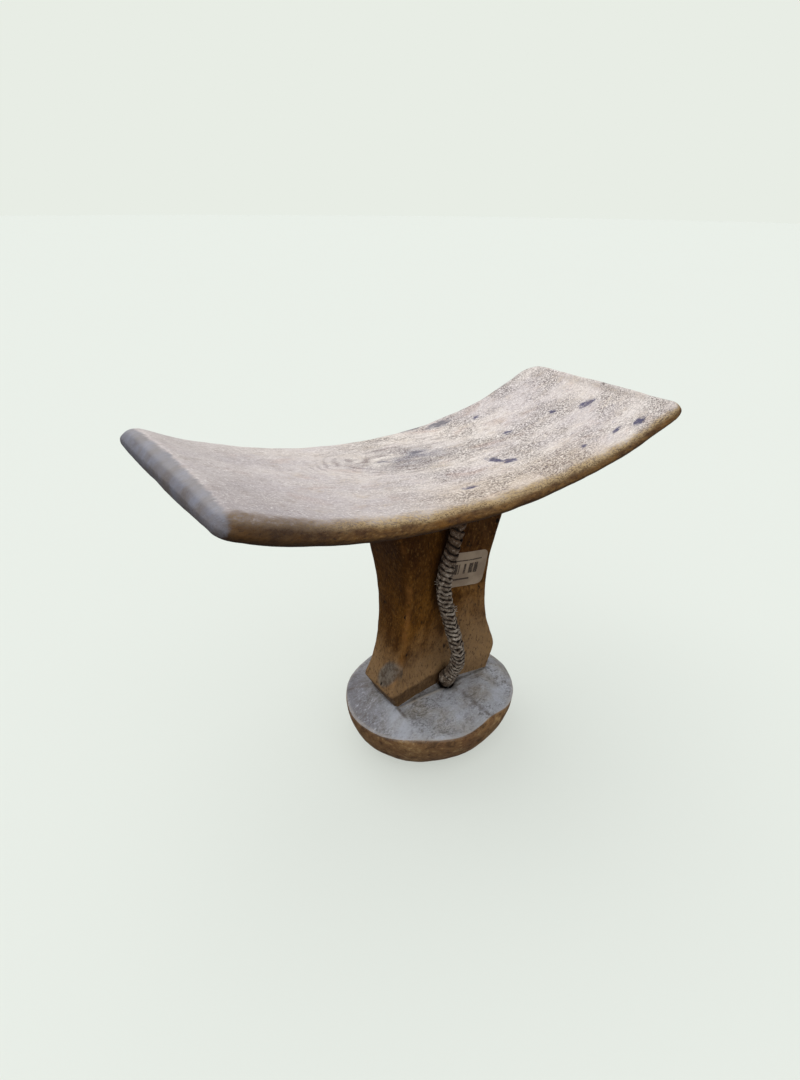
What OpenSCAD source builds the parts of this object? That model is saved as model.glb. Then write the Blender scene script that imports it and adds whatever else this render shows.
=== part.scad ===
// Carved wooden headrest: a curved rest on a waisted column and a round base,
// with a lace-covered hide carrying cord down the front groove and a paper label.
// Millimetres, +Z up, origin at the centre of the base's flat underside,
// +X along the rest's length and -Y towards the front.

/* [Rest] */
// Length of the curved rest, tip to tip
rest_len = 229; // [200:1:240]
// Height of the rest's top at its lowest point
rest_h = 153.5; // [148:0.5:165]
// How far the tips rise above that point
rest_rise = 25.5; // [15:0.5:32]
// Half width of the rest at its middle
rest_half_w = 48; // [42:0.5:54]
// Extra half width at the tips
rest_flare = 5; // [0:0.5:8]
// Thickness at the long edges
rest_edge_t = 7.5; // [6:0.5:10]
// Extra thickness along the middle of the underside
rest_crown = 5; // [2:0.5:7]
// Radius of the four corners seen from above
rest_corner_r = 8; // [5:0.5:14]

/* [Column] */
// Depth of the shallow groove down the front and back
groove_d = 4; // [2:0.5:6]
// Sideways place of the groove
groove_x = 1; // [-2:0.5:3]
// Length of the cuts that soften the column's long edges
edge_cut = 2; // [1:0.5:3]

/* [Base] */
// Length of the oval base
base_len = 94; // [90:1:100]
// Width of the oval base
base_w = 84; // [78:1:94]
// Height of the rim
rim_h = 24; // [20:0.5:26]
// Height of the small flat that the column stands on
seat_h = 32; // [29:0.5:34]
// Diameter of the flat underside
foot_d = 62; // [50:1:70]

/* [Cord] */
// Diameter of the lace-covered cord
cord_d = 7; // [6:0.5:8]
// Diameter of the hide thong inside it
thong_d = 4.6; // [4:0.2:5]
// Diameter of the upper hole
upper_hole_d = 8; // [8:0.2:9]
// Diameter of the lower hole
lower_hole_d = 9; // [8:0.2:10]

/* [Label] */
// Length of the paper label
label_len = 26; // [20:1:28]
// Height of the paper label
label_h = 20; // [14:1:22]
// How far the label is turned from level
label_turn = 4; // [0:1:15]
// Thickness of the paper
label_t = 0.2; // [0.15:0.05:0.4]

/* [Hidden] */

// Rest: a lengthwise curve, swept by sections square to it
rest_mid_x = -7.5;
rest_turn = 0.7;
rest_edge_r = 3.4;
rest_lean = 1.1;
rest_taper = 1.5;
rest_steps = 24;
end_steps = 5;
side_steps = 10;
round_steps = 4;

// Column: [height, left end, right end, front, back]
column_rows = [
    [32, -30, 31, -12, 12],
    [35, -32, 33, -11.5, 11],
    [39, -34, 34.5, -11, 11],
    [44, -33.5, 35, -11, 11],
    [50, -31.5, 33.5, -11.5, 11.5],
    [62, -27.5, 29, -12.5, 13],
    [80, -25.5, 25.5, -12, 13],
    [100, -25.5, 24.5, -14.5, 17],
    [118, -29, 26.5, -16.5, 19],
    [134, -34.5, 31.5, -16.5, 18.5],
    [144, -39, 36, -16.5, 18.5]
];
column_top = 137;
column_steps = 42;
end_bulge = 0.8;
joint_gap = 0.1;

// Base: [height, how far inside the rim's outline] up the bowl-shaped side
side_rows = [[1, 12.5], [3, 9], [7, 5.5], [12, 2.8], [17, 1], [21, 0.2], [23.4, 0]];
base_sides = 60;
seat_l = 63;
seat_w = 27;
top_crown = 1;
rim_soft = 0.8;

// Cord: its route from the blind upper hole to the blind lower hole
route = [
    [2, -12.5, 148], [2, -14, 142], [1.5, -15.5, 137], [0.5, -16.5, 132.5],
    [-0.5, -17, 128], [-1.5, -17, 123], [-2.5, -16.5, 117.5], [-3.5, -15.5, 111.5],
    [-4.5, -14.8, 105.5], [-5.3, -14.5, 99.5], [-5, -14.5, 93], [-4, -15, 86.5],
    [-2.4, -16, 79], [-0.6, -17.5, 70.5], [1, -18.8, 62.5], [2.2, -19, 56.5],
    [2.8, -18, 51], [2.8, -16, 45.5], [2.2, -13.7, 41], [1.8, -12.2, 38],
    [2.2, -10.8, 35], [2.9, -9, 31.5], [3.6, -6.5, 27.5], [4.2, -4.3, 24]
];
cover_end = 18;
knot_end = 20;
knot_swell = [3.5, 4, 3];
cord_sides = 10;
fit_gap = 0.05;
upper_hole_l = 14;
lower_hole_l = 16;

// Label: its centre on the right half of the front
label_mid = [9.6, 100.3];
label_r = 2;
paper_gap = 0.25;
label_cells = [13, 10];

// A value between the rows of a table, on a smooth curve through them
function at_row(t, z, k) =
    let (
        n = len(t) - 1,
        i = max(0, min(n - 1, max([for (j = [0 : n]) t[j][0] <= z ? j : 0]))),
        lo = max(0, i - 1),
        hi = min(n, i + 2),
        h = t[i + 1][0] - t[i][0],
        s = (z - t[i][0]) / h,
        m0 = (t[i + 1][k] - t[lo][k]) / (t[i + 1][0] - t[lo][0]) * h,
        m1 = (t[hi][k] - t[i][k]) / (t[hi][0] - t[i][0]) * h
    )
    (2 * s ^ 3 - 3 * s ^ 2 + 1) * t[i][k] + (s ^ 3 - 2 * s ^ 2 + s) * m0
    + (3 * s ^ 2 - 2 * s ^ 3) * t[i + 1][k] + (s ^ 3 - s ^ 2) * m1;

// A closed outline with each corner cut back by d
function cut_corners(p, d) = [
    for (i = [0 : len(p) - 1])
        let (a = p[i], b = p[(i + 1) % len(p)], e = (b - a) / norm(b - a))
        each [a + e * d, b - e * d]
];

// The middle of a ring
function mean(p) = [for (k = [0 : 2]) [for (q = p) q[k]] * [for (q = p) 1] / len(p)];

// A closed skin over rings that have the same number of points each
module skin(rings) {
    n = len(rings[0]);
    m = len(rings);
    walls = [
        for (i = [0 : m - 2], j = [0 : n - 1])
            let (a = i * n + j, b = i * n + (j + 1) % n)
            each [[a, b, b + n], [a, b + n, a + n]]
    ];
    first = [for (j = [0 : n - 1]) [m * n, (j + 1) % n, j]];
    last = [for (j = [0 : n - 1]) [m * n + 1, (m - 1) * n + j, (m - 1) * n + (j + 1) % n]];
    points = [for (r = rings) each r];
    polyhedron(concat(points, [mean(rings[0]), mean(rings[m - 1])]), concat(walls, first, last));
}

// Rest: u runs from -1 at the left tip to 1 at the right tip
rest_half = rest_len / 2;
function rest_z(u) = rest_h + (rest_rise - 4) * u ^ 2 + 4 * u ^ 4 - rest_lean * u;
function rest_slope(u) = (2 * (rest_rise - 4) * u + 16 * u ^ 3 - rest_lean) / rest_half;
function rest_w(u) = rest_half_w + rest_flare * u ^ 2 - rest_taper * u;
function rest_dip(u) = 0.5 + 0.5 * u ^ 2 + 2.5 * u;
function rest_t(u) = rest_edge_t + 0.3 * u ^ 2 - rest_lean * u;
function rest_belly(u) = 2 + (rest_crown - 2) * (1 - u ^ 2) ^ 2;

// How far an edge of radius r falls back at distance d from the tip
function fall(r, d) = d >= r ? 0 : r - sqrt(r ^ 2 - (r - d) ^ 2);

// A section square to the curve, at a distance x from the middle
function rest_section(x) =
    let (
        d = max(0, rest_half - abs(x)),
        u = x / rest_half,
        w = rest_w(u) - fall(rest_corner_r, d),
        e = fall(rest_edge_r, d),
        t = rest_t(u) - 2 * e,
        r = min(rest_edge_r, t / 2 - 0.1),
        k = sqrt(1 + rest_slope(u) ^ 2),
        flat = w - r,
        v = [for (i = [0 : side_steps]) -1 + 2 * i / side_steps],
        top = [for (q = v) [-q * flat, -e - rest_dip(u) * (1 - q ^ 2)]],
        bottom = [for (q = v) [q * flat, -e - t - rest_belly(u) * (1 - q ^ 2)]],
        turn = [for (i = [1 : round_steps]) 90 - i * 180 / (round_steps + 1)],
        left = [for (a = turn) [-flat - r * cos(a), -e - t / 2 + (t / 2) * sin(a)]],
        right = [for (a = turn) [flat + r * cos(a), -e - t / 2 - (t / 2) * sin(a)]]
    )
    [for (q = concat(top, left, bottom, right))
        [x - q[1] * rest_slope(u) / k, q[0], rest_z(u) + q[1] / k]];

// Height of the rest's underside over a point of the column
function rest_under(x, y) =
    let (
        u0 = (x - rest_mid_x) / rest_half,
        t0 = rest_t(u0) + rest_belly(u0),
        u = u0 - t0 * rest_slope(u0) / sqrt(1 + rest_slope(u0) ^ 2) / rest_half,
        v = y / (rest_w(u) - rest_edge_r)
    )
    rest_z(u) - (rest_t(u) + rest_belly(u) * (1 - v ^ 2)) / sqrt(1 + rest_slope(u) ^ 2);

rest_ends = [for (i = [0 : end_steps]) rest_corner_r * (1 - cos(90 * i / end_steps))];
rest_core = rest_half - rest_corner_r;
rest_stations = concat(
    [for (d = rest_ends) d - rest_half],
    [for (i = [1 : rest_steps - 1]) -rest_core + 2 * rest_core * i / rest_steps],
    [for (i = [end_steps : -1 : 0]) rest_half - rest_ends[i]]
);

module rest_body() {
    translate([rest_mid_x, 0, 0]) rotate(rest_turn)
        skin([for (x = rest_stations) rest_section(x)]);
}

// Column: how far forward its front is at a sideways place and a height
function front_y(x, z) =
    let (
        xe = x < groove_x ? at_row(column_rows, z, 1) : at_row(column_rows, z, 2),
        f = min(1, abs(x - groove_x) / abs(xe - groove_x))
    )
    at_row(column_rows, z, 3) + groove_d * (1 - f);

function column_section(z) =
    let (
        l = at_row(column_rows, z, 1),
        r = at_row(column_rows, z, 2),
        f = at_row(column_rows, z, 3),
        b = at_row(column_rows, z, 4),
        outline = [
            [l, f], [groove_x, f + groove_d], [r, f], [r + end_bulge, (f + b) / 2],
            [r, b], [groove_x, b - groove_d], [l, b], [l - end_bulge, (f + b) / 2]
        ]
    )
    [for (q = cut_corners(cut_corners(outline, edge_cut), edge_cut / 3)) [q[0], q[1], z]];

// The top follows the rest's underside, ring by ring towards its middle
function column_cap(s) = [
    for (q = column_section(column_rows[len(column_rows) - 1][0]))
        [q[0] * s, q[1] * s, rest_under(q[0] * s, q[1] * s) - joint_gap]
];

module column_body() {
    lo = column_rows[0][0];
    skin(concat(
        [for (i = [0 : column_steps]) column_section(lo + (column_top - lo) * i / column_steps)],
        [for (s = [1 : -0.2 : 0.2]) column_cap(s)]
    ));
}

// Base
// The rim's outline, made smaller by inset
function oval(inset, z) = [
    for (i = [0 : base_sides - 1])
        let (a = 360 * i / base_sides)
        [(base_len / 2 - inset) * cos(a), (base_w / 2 - inset) * sin(a), z]
];
// The column's seat: a rectangle with soft corners, in the oval's own steps
seat = [
    for (i = [0 : base_sides - 1])
        let (
            a = 360 * i / base_sides,
            x = seat_l / 2 / max(0.01, abs(cos(a))),
            y = seat_w / 2 / max(0.01, abs(sin(a))),
            r = (x ^ -6 + y ^ -6) ^ (-1 / 6)
        )
        [r * cos(a), r * sin(a)]
];
// A ring of the top, s of the way from the rim to the seat
function top_ring(s) =
    let (
        o = oval(rim_soft, 0),
        i = seat,
        z = rim_h + (seat_h - rim_h) * s + top_crown * 4 * s * (1 - s)
    )
    [for (k = [0 : base_sides - 1]) [
        o[k][0] + (i[k][0] - o[k][0]) * s,
        o[k][1] + (i[k][1] - o[k][1]) * s,
        z
    ]];

module base_body() {
    foot = oval((base_len - foot_d) / 2, 0);
    side = [for (q = side_rows) oval(q[1], q[0])];
    top = [for (s = [0 : 0.2 : 1]) top_ring(s)];
    skin(concat([foot], side, top));
}

// Cord
// The way that the route runs at its point i
function heading(i) =
    let (a = route[max(0, i - 1)], b = route[min(len(route) - 1, i + 1)])
    (b - a) / norm(b - a);
// A ring of radius r round the route's point i
function cord_ring(i, r) =
    let (
        h = heading(i),
        v = cross(h, [1, 0, 0]) / norm(cross(h, [1, 0, 0])),
        u = cross(v, h)
    )
    [for (k = [0 : cord_sides - 1])
        let (a = 360 * k / cord_sides)
        route[i] + r * (cos(a) * u - sin(a) * v)];

// A tube from one point of the route to another, round the thong
module sleeve(from, to, radii) {
    n = to - from;
    out = [for (i = [0 : n]) cord_ring(from + i, radii[i])];
    inside = [for (i = [n : -1 : 0]) cord_ring(from + i, thong_d / 2 + fit_gap)];
    rings = concat(out, inside);
    m = len(rings);
    c = cord_sides;
    walls = [
        for (i = [0 : m - 1], j = [0 : c - 1])
            let (
                a = i * c + j,
                b = i * c + (j + 1) % c,
                d = ((i + 1) % m) * c + (j + 1) % c,
                e = ((i + 1) % m) * c + j
            )
            each [[a, b, d], [a, d, e]]
    ];
    polyhedron([for (r = rings) each r], walls);
}

// A round blind hole from one end of the route towards the next point and past its mouth
module cord_hole(end, next, d, l) {
    h = (next - end) / norm(next - end);
    translate(end)
        rotate([0, acos(h[2]), atan2(h[1], h[0])])
            cylinder(d = d, h = l, $fn = 48);
}
module upper_hole() cord_hole(route[0], route[1], upper_hole_d, upper_hole_l);
module lower_hole() {
    last = len(route) - 1;
    cord_hole(route[last], route[last - 1], lower_hole_d, lower_hole_l);
}

// Label
module label_outline() {
    l = label_len - 2 * label_r;
    h = label_h - 2 * label_r;
    hull()
        for (x = [-l / 2, l / 2], y = [-h / 2, h / 2])
            translate([x, y]) circle(label_r, $fn = 24);
}
// A thin sheet that follows the front of the column
module paper_sheet() {
    across = label_cells[0];
    up = label_cells[1];
    row = across + 1;
    side = row * (up + 1);
    function spot(i, j, out) =
        let (
            x = label_mid[0] + label_len * 0.7 * (2 * i / across - 1),
            z = label_mid[1] + label_h * 0.9 * (2 * j / up - 1)
        )
        [x, front_y(x, z) - paper_gap - out, z];
    points = [for (out = [label_t, 0], j = [0 : up], i = [0 : across]) spot(i, j, out)];
    faces = [
        for (j = [0 : up - 1], i = [0 : across - 1])
            let (a = j * row + i, b = a + row, c = side)
            each [
                [a, b, b + 1], [a, b + 1, a + 1],
                [c + a, c + b + 1, c + b], [c + a, c + a + 1, c + b + 1]
            ]
    ];
    edge = concat(
        [for (i = [0 : across]) i],
        [for (j = [1 : up]) j * row + across],
        [for (i = [across - 1 : -1 : 0]) up * row + i],
        [for (j = [up - 1 : -1 : 1]) j * row]
    );
    rim = [
        for (k = [0 : len(edge) - 1])
            let (a = edge[k], b = edge[(k + 1) % len(edge)])
            each [[a, b, side + b], [a, side + b, side + a]]
    ];
    polyhedron(points, concat(faces, rim));
}

module rest() {
    color("#b8a592") difference() {
        rest_body();
        upper_hole();
    }
}
module column() {
    color("#80603f") difference() {
        column_body();
        upper_hole();
        lower_hole();
    }
}
module base() {
    color("#8a8078") difference() {
        base_body();
        lower_hole();
    }
}
module thong() {
    color("#6a4c34") skin([for (i = [0 : len(route) - 1]) cord_ring(i, thong_d / 2)]);
}
module lace_cover() {
    color("#8b7f73") sleeve(0, cover_end, [for (i = [0 : cover_end]) cord_d / 2]);
}
module lace_knot() {
    color("#776b61") sleeve(cover_end, knot_end, knot_swell);
}
module label() {
    color("#cfc7bb") intersection() {
        paper_sheet();
        translate([label_mid[0], 0, label_mid[1]]) rotate([90, label_turn, 0])
            linear_extrude(40) label_outline();
    }
}

rest();
column();
base();
thong();
lace_cover();
lace_knot();
label();
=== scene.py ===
"""A carved wooden headrest: a curved rest on a waisted column and a round base, with a hide thong
covered in lace down the front and a small paper label. Everything is in metres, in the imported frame."""

import math
import random

import bmesh
import bpy
from mathutils import Matrix, Vector, noise


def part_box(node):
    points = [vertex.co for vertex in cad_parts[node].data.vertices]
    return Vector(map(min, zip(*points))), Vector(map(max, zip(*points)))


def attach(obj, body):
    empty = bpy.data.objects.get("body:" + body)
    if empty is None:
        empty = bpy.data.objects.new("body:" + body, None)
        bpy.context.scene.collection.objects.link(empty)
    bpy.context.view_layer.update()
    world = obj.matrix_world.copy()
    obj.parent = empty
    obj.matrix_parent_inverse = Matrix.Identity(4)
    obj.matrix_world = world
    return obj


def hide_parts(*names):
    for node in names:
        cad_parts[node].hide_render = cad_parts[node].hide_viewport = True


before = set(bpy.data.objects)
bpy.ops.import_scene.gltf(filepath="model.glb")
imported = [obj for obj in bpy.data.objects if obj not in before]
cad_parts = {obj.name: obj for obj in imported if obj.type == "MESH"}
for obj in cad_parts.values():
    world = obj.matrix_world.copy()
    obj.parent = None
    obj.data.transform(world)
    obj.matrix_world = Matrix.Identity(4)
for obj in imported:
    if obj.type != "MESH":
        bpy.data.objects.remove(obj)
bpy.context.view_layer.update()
MM = 0.001

# ---------------------------------------------------------------- camera


def add_camera():
    """Looks down at the near left corner of the rest, at the height of a person standing at a table."""
    azimuth = math.radians(-34.71)
    elevation = math.radians(27.19)
    roll = math.radians(0.56)
    distance = 307.43 * MM
    target = Vector((-26.13, -7.80, 124.36)) * MM
    level = math.cos(elevation)
    back = Vector((math.sin(azimuth) * level, -math.cos(azimuth) * level, math.sin(elevation)))
    data = bpy.data.cameras.new("camera")
    data.lens = 22.81
    data.sensor_width = 36.0
    data.clip_start = 0.01
    data.clip_end = 50.0
    camera = bpy.data.objects.new("camera", data)
    bpy.context.scene.collection.objects.link(camera)
    turn = back.to_track_quat("Z", "Y").to_matrix() @ Matrix.Rotation(roll, 3, "Z")
    camera.matrix_world = Matrix.Translation(target + back * distance) @ turn.to_4x4()
    bpy.context.scene.camera = camera


add_camera()

# ---------------------------------------------------------------- hand tools


def only(obj):
    """Makes obj the one selected, active object."""
    bpy.ops.object.select_all(action="DESELECT")
    obj.select_set(True)
    bpy.context.view_layer.objects.active = obj


def start(name):
    """Names the new primitive and opens it for shaping."""
    obj = bpy.context.object
    obj.name = name
    obj.data.name = name
    bpy.ops.object.mode_set(mode="EDIT")
    return obj


def stop():
    bpy.ops.object.mode_set(mode="OBJECT")


def close_up():
    """Turns every face outwards and ends the shaping."""
    bpy.ops.mesh.select_all(action="SELECT")
    bpy.ops.mesh.normals_make_consistent(inside=False)
    stop()


def pick(obj, wanted, kind="VERT"):
    """Selects the vertices whose numbers are wanted, and the edges and faces that they close."""
    bpy.ops.mesh.select_mode(type=kind)
    bpy.ops.mesh.select_all(action="DESELECT")
    mesh = bmesh.from_edit_mesh(obj.data)
    mesh.verts.ensure_lookup_table()
    for number in wanted:
        mesh.verts[number].select_set(True)
    mesh.select_flush(True)
    bmesh.update_edit_mesh(obj.data, loop_triangles=False, destructive=False)


def pick_edges(obj, test):
    """Selects the edges whose two ends pass the test."""
    bpy.ops.mesh.select_mode(type="EDGE")
    bpy.ops.mesh.select_all(action="DESELECT")
    mesh = bmesh.from_edit_mesh(obj.data)
    for edge in mesh.edges:
        if test(*edge.verts):
            edge.select_set(True)
    bmesh.update_edit_mesh(obj.data, loop_triangles=False, destructive=False)


def places(obj):
    """Every vertex as (number, place), as the mesh is now."""
    mesh = bmesh.from_edit_mesh(obj.data)
    return [(v.index, v.co.copy()) for v in mesh.verts]


def shift(obj, wanted, by):
    if len(wanted) and Vector(by).length > 1e-7:
        pick(obj, wanted)
        bpy.ops.transform.translate(value=by)


def scale(obj, wanted, by, about):
    pick(obj, wanted)
    bpy.ops.transform.resize(value=by, center_override=about)


def turn(angle, axis, about=(0, 0, 0)):
    """Turns what is selected by the right-hand rule. With no window, the turning tool works the other way."""
    bpy.ops.transform.rotate(value=-angle, orient_axis=axis, center_override=about)


def modify(obj, kind, **settings):
    """Adds a modifier and applies it."""
    only(obj)
    modifier = obj.modifiers.new(kind.lower(), kind)
    for key, value in settings.items():
        setattr(modifier, key, value)
    bpy.ops.object.modifier_apply(modifier=modifier.name)


def smooth(obj, levels):
    modify(obj, "SUBSURF", levels=levels, render_levels=levels)


def uneven(obj, size, depth):
    """Leaves the soft unevenness of a knife or of wear, size across and depth high."""
    clouds = bpy.data.textures.new(obj.name + "_uneven", "CLOUDS")
    clouds.noise_scale = size
    clouds.noise_depth = 1
    modify(obj, "DISPLACE", texture=clouds, strength=depth, mid_level=0.5, texture_coords="LOCAL")


def drill(obj, start_at, towards, length, radius):
    """Bores a round hole from start_at."""
    line = (Vector(towards) - Vector(start_at)).normalized()
    centre = Vector(start_at) + line * length / 2
    bpy.ops.object.select_all(action="DESELECT")
    bpy.ops.mesh.primitive_cylinder_add(vertices=32, radius=radius, depth=length, location=centre,
                                        rotation=line.to_track_quat("Z", "Y").to_euler())
    bit = bpy.context.object
    modify(obj, "BOOLEAN", operation="DIFFERENCE", object=bit, solver="EXACT")
    bpy.data.objects.remove(bit)


def shade(obj, degrees=40):
    only(obj)
    bpy.ops.object.shade_smooth_by_angle(angle=math.radians(degrees))


def mark(obj, name, rule):
    """Keeps a number from 0 to 1 at each vertex, which a material reads."""
    layer = obj.data.attributes.new(name, "FLOAT", "POINT")
    values = [rule(v.co / MM, v.normal) for v in obj.data.vertices]
    layer.data.foreach_set("value", values)


def ramp(value, begin, end):
    """0 up to begin, 1 from end, and a smooth step between."""
    t = min(max((value - begin) / (end - begin), 0.0), 1.0)
    return t * t * (3 - 2 * t)


def finish_piece(obj, material, slot, *nodes):
    obj.data.materials.clear()
    obj.data.materials.append(material)
    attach(obj, "root")
    if nodes:
        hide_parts(*nodes)


# ---------------------------------------------------------------- materials


def paint(code):
    """An sRGB hex colour as the linear colour that a shader takes."""
    parts = [int(code[i:i + 2], 16) / 255 for i in (1, 3, 5)]
    return tuple(c / 12.92 if c <= 0.04045 else ((c + 0.055) / 1.055) ** 2.4 for c in parts) + (1.0,)


# settings of a MapRange node that spreads a value smoothly and stops at both ends
STEP = {"interpolation_type": "SMOOTHSTEP"}


def add(tree, kind, inputs=(), output=0, **settings):
    """Adds a node with its settings, sets or joins its inputs, and gives one output, or the node for None.
    Inputs are by name or in order; a hex code is a colour, and a plain word is a mark on the piece."""
    node = tree.nodes.new("ShaderNode" + kind)
    for key, value in settings.items():
        setattr(node, key, value)
    for key, value in inputs.items() if isinstance(inputs, dict) else enumerate(inputs):
        if isinstance(value, str) and value[0] == "#":
            value = paint(value)
        elif isinstance(value, str):
            value = add(tree, "Attribute", (), "Fac", attribute_name=value)
        if isinstance(value, bpy.types.NodeSocket):
            tree.links.new(value, node.inputs[key])
        else:
            node.inputs[key].default_value = value
    return node.outputs[output] if output is not None and len(node.outputs) else node


def new_material(name):
    """An empty material and its tree."""
    material = bpy.data.materials.new(name)
    material.use_nodes = True
    material.node_tree.nodes.clear()
    return material, material.node_tree


def pattern(tree, where, size, stretch=(1, 1, 1), detail=3.0, rough=0.6, swirl=0.0):
    """Irregular patches, size metres across and longer along each axis by the numbers in stretch."""
    spot = add(tree, "Mapping", {"Vector": where, "Scale": [1 / s for s in stretch]})
    return add(tree, "TexNoise", {"Vector": spot, "Scale": 1 / size, "Detail": detail, "Roughness": rough,
                                  "Distortion": swirl})


def layer(tree, under, over, share, begin=None, end=None, most=1.0):
    """Lays one colour over another by share, or by two shares together, up to most. With limits, there is
    none of it where share is at begin, and most of it at end."""
    if isinstance(share, tuple):
        share = add(tree, "Math", share, operation="MULTIPLY")
    if begin is not None:
        share = add(tree, "MapRange", (share, begin, end, 0.0, most), **STEP)
    elif most != 1.0:
        share = add(tree, "Math", (share, most), operation="MULTIPLY")
    return add(tree, "Mix", {0: share, 6: under, 7: over}, 2, data_type="RGBA")


def ragged(tree, edge, patches, depth):
    """Breaks up an even change with a pattern of patches."""
    swing = add(tree, "Math", (patches, 0.5), operation="SUBTRACT")
    return add(tree, "Math", (edge, add(tree, "Math", (swing, depth), operation="MULTIPLY")), operation="ADD")


def patchy(tree, share, patches, begin, end, least=0.0, most=1.0):
    """Keeps a share only where a pattern has gone from begin to end."""
    kept = add(tree, "MapRange", (patches, begin, end, least, most), **STEP)
    return add(tree, "Math", (share, kept), operation="MULTIPLY")


def surface(tree, colour, gloss, relief, depth, strength, **settings):
    """Joins a colour, a roughness and a relief, depth metres high, to the shader."""
    raised = add(tree, "Bump", {"Height": relief, "Distance": depth, "Strength": strength})
    finish = add(tree, "BsdfPrincipled",
                 {"Base Color": colour, "Roughness": gloss, "Normal": raised, **settings})
    add(tree, "OutputMaterial", {"Surface": finish})


def rest_wood():
    """Pale hardwood, knife carved and worn bare on top by years of use, with its old brown oil left on
    the sides and below, darkened by painted shade on the faces turned down: open short pores along the grain,
    blue-violet stains, a satin grey left end tinted blue by a painted sky reflection."""
    material, tree = new_material("hand_carved_hardwood_worn_bare")
    where = add(tree, "TexCoord", output="Object")
    across = add(tree, "SeparateXYZ", {0: where}, None).outputs

    # the bare top: cream and pinkish patches, greyer to the left
    patches = pattern(tree, where, 24 * MM, (2, 1, 1), 4.0, 0.6)
    tone = layer(tree, "#E4DACF", "#D0C7C3", patches, 0.38, 0.62)
    rosy = pattern(tree, where, 12 * MM, (2.4, 1, 1), 3.0, 0.6, 0.6)
    tone = layer(tree, tone, "#C09E8C", rosy, 0.55, 0.74, 0.55)
    tone = layer(tree, tone, "#E6DFD6", rosy, 0.44, 0.3, 0.5)
    grey_left = add(tree, "MapRange", (across[0], 20 * MM, -112 * MM), **STEP)
    tone = layer(tree, tone, "#ADA5A5", grey_left, most=0.6)
    tone = layer(tree, tone, "#C4BBB9", "flecks", most=0.3)
    near_left = add(tree, "Math",
                    (add(tree, "MapRange", (across[1], 10 * MM, -44 * MM), **STEP), grey_left),
                    operation="MULTIPLY")
    tone = layer(tree, tone, "#9A9192", near_left, most=0.5)
    # a golden strip along the near edge, at the middle and right
    near_right = add(tree, "MapRange", (across[1], -8 * MM, -44 * MM), **STEP)
    for begin, end in ((-60, 0), (85, 40)):
        limit = add(tree, "MapRange", (across[0], begin * MM, end * MM), **STEP)
        near_right = add(tree, "Math", (near_right, limit), operation="MULTIPLY")
    tone = layer(tree, tone, "#CDB48C", near_right, 0.0, 1.0, 0.42)

    # growth rings show where the hollow of the top cuts through them: long ovals round one point
    lift = pattern(tree, where, 16 * MM, (2.5, 1, 1), 2.0, 0.6)
    y_off = add(tree, "Math", (across[1], -15 * MM), operation="ADD")
    z_off = add(tree, "Math", (across[2], -93 * MM), operation="ADD")
    radius = add(tree, "Math",
                 (add(tree, "Math",
                      (add(tree, "Math", (y_off, y_off), operation="MULTIPLY"),
                       add(tree, "Math", (z_off, z_off), operation="MULTIPLY")), operation="ADD"), 0.0),
                 operation="SQRT")
    # growth rings 0.5 mm apart
    ring_gap = 0.5 * MM
    rings = add(tree, "Math",
                (add(tree, "Math", (radius, 1 / ring_gap), operation="MULTIPLY"),
                 add(tree, "Math", (lift, 5.5), operation="MULTIPLY")), operation="ADD")
    ring_line = add(tree, "Math", (rings, 1.0), operation="PINGPONG")
    ring_worn = add(tree, "MapRange", (pattern(tree, where, 6 * MM, (2, 1, 1), 2.0, 0.6), 0.35, 0.6),
                    **STEP)
    ring_here = add(tree, "Math", ("swirl", ring_worn), operation="MULTIPLY")
    ring_dark = add(tree, "Math",
                    (add(tree, "MapRange", (ring_line, 0.45, 0.9, 0.0, 0.95), **STEP), ring_here),
                    operation="MULTIPLY")
    tone = layer(tree, tone, "#82736E", ring_dark)
    ring_pale = add(tree, "Math",
                    (add(tree, "MapRange", (ring_line, 0.4, 0.05, 0.0, 0.4), **STEP), ring_here),
                    operation="MULTIPLY")
    tone = layer(tree, tone, "#ECE4DA", ring_pale)
    bluish = add(tree, "Math", (add(tree, "MapRange", (rosy, 0.3, 0.55), **STEP), "bluish"),
                 operation="MULTIPLY")
    tone = layer(tree, tone, "#727280", bluish, most=0.85)

    # open pores along the grain, filled with old dirt; drawn 0.6 mm wide, somewhat wider than the real
    # ones, so that they show at this distance
    fibre = pattern(tree, where, 0.9 * MM, (8, 1, 1), 4.0, 0.72)
    pores = pattern(tree, where, 0.62 * MM, (1.7, 1, 1), 3.0, 0.8)
    fleck = pattern(tree, where, 1.3 * MM, (2.0, 1, 1), 4.0, 0.75)
    pore_patches = add(tree, "MapRange", (pattern(tree, where, 14 * MM, (2, 1, 1)), 0.38, 0.62, 0.25),
                       **STEP)
    pore_field = add(tree, "Math",
                     (add(tree, "MapRange", (across[0], -62 * MM, 5 * MM, 0.25), **STEP), pore_patches),
                     operation="MULTIPLY")
    pore_mask = add(tree, "Math", (add(tree, "MapRange", (pores, 0.49, 0.57), **STEP), pore_field),
                    operation="MULTIPLY")
    tone = layer(tree, tone, "#96857B", fibre, 0.51, 0.68, 0.62)
    tone = layer(tree, tone, "#EFE8E0", fibre, 0.46, 0.3, 0.35)
    tone = layer(tree, tone, "#5C4D47", pore_mask, most=0.82)
    tone = layer(tree, tone, "#FAF6F0", pores, 0.46, 0.35, 0.6)
    fleck_mask = add(tree, "Math",
                     (add(tree, "MapRange", (fleck, 0.6, 0.7), **STEP),
                      add(tree, "MapRange", ("flecks", 0.0, 0.5, 0.3), **STEP)), operation="MULTIPLY")
    tone = layer(tree, tone, "#55506A", fleck_mask, most=0.75)

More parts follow.
